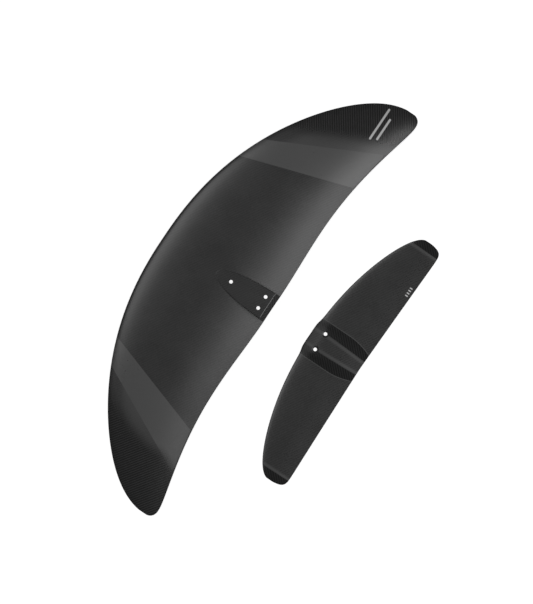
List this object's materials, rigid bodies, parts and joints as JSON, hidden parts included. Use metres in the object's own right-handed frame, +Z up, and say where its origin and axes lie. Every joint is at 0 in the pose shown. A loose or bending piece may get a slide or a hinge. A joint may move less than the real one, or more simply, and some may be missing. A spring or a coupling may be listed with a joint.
{
  "type": "hydrofoil wing set",
  "caption": "Hydrofoil wing set: swept front wing with drooped tips and a raised bolt-down pad, plus a small rear stabiliser with a bolted centre ridge",
  "frame": {"origin": "midpoint of the front wing's aft bolt pair, on the flat top of its mounting pad", "axes": "+X along the span to port, +Y aft, +Z up; both wings level as mounted under and on a fuselage"},
  "size_m": [0.8428, 0.4191, 0.1029],
  "materials": {
    "painted_carbon": "satin black paint over carbon cloth",
    "solid_laminate": "cut laminate",
    "sleeve_metal": "turned stainless",
    "black_cup": "black anodised",
    "foam": "milled closed-cell foam",
    "carbon_tape": "unidirectional carbon"
  },
  "bodies": {
    "front_wing": {"front_top_skin": "painted_carbon", "front_bottom_skin": "painted_carbon", "front_root_block": "solid_laminate", "front_bolt_sleeves": "sleeve_metal", "front_core_port": "foam", "front_core_starboard": "foam", "front_spar_cap_top": "carbon_tape", "front_spar_cap_bottom": "carbon_tape", "front_tip_filler_port": "solid_laminate", "front_tip_filler_starboard": "solid_laminate", "front_trailing_strip_port": "carbon_tape", "front_trailing_strip_starboard": "carbon_tape"},
    "stabiliser": {"rear_top_skin": "painted_carbon", "rear_bottom_skin": "painted_carbon", "rear_root_block": "solid_laminate", "rear_bolt_cups": "black_cup", "rear_core_port": "foam", "rear_core_starboard": "foam", "rear_spar_cap_top": "carbon_tape", "rear_spar_cap_bottom": "carbon_tape", "rear_tip_filler_port": "solid_laminate", "rear_tip_filler_starboard": "solid_laminate", "rear_trailing_strip_port": "carbon_tape", "rear_trailing_strip_starboard": "carbon_tape"}
  },
  "joints": [
    {"name": "stabiliser_spacing", "type": "slide", "parent": "front_wing", "child": "stabiliser", "axis": [0, 1, 0], "range_m": [0, 0.5]}
  ]
}
